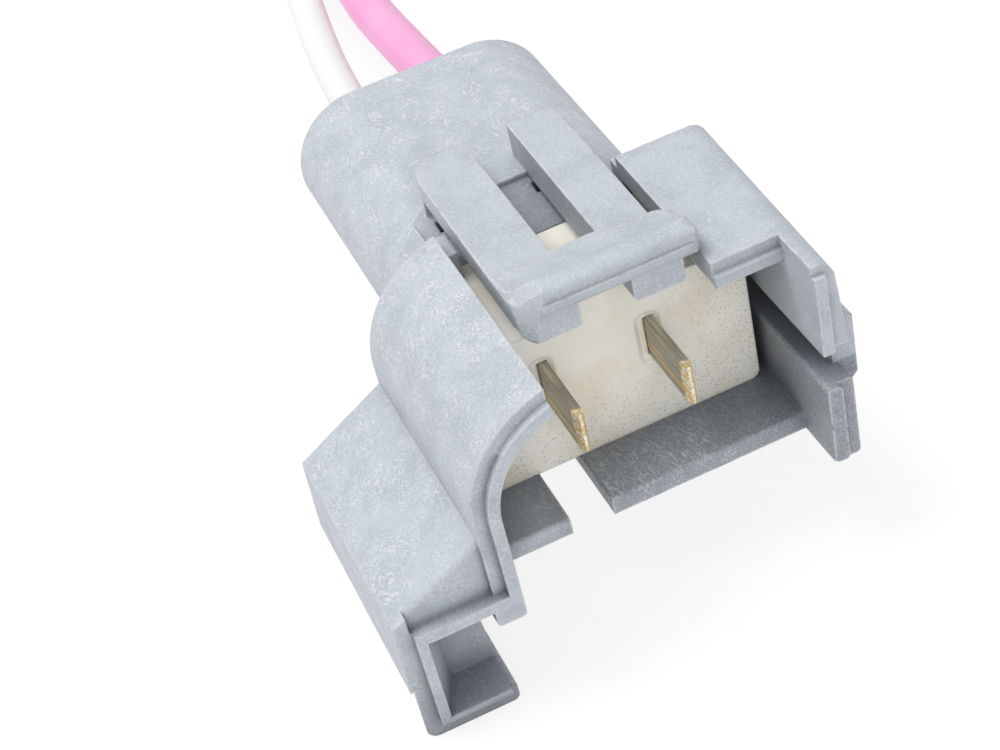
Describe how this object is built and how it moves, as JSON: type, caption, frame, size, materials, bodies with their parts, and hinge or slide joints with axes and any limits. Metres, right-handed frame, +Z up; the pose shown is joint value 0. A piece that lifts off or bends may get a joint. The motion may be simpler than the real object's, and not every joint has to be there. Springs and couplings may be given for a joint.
{
  "type": "ignition coil connector pigtail",
  "caption": "Hooded plug with a top latch, a side keyway and a side wing, flat blades in a pale carrier, and two insulated leads put away in a tied coil.",
  "frame": {"origin": "on the front face of the terminal carrier, on the axis of the barrel", "axes": "+X across the plug away from the wing, +Y back along the barrel towards the leads, +Z up towards the latch"},
  "size_m": [0.0581, 0.1328, 0.0245],
  "materials": {
    "housing": "matt, glass-filled grey with fine pale fibre marks",
    "carrier": "matt off-white",
    "terminal": "tin-grey over brass, gold-coloured at the tips",
    "seal": "matt rubber",
    "lead_white": "satin white insulation",
    "lead_pink": "satin pink insulation",
    "strands": "bare copper strands",
    "band": "satin black"
  },
  "bodies": {
    "root": {"housing": "housing", "terminal_carrier": "carrier", "terminal_left": "terminal", "terminal_right": "terminal", "seal_left": "seal", "seal_right": "seal", "lead_white": "lead_white", "lead_pink": "lead_pink", "coil_white": "lead_white", "coil_pink": "lead_pink", "strands_white": "strands", "strands_pink": "strands", "coil_band": "band"}
  },
  "joints": []
}
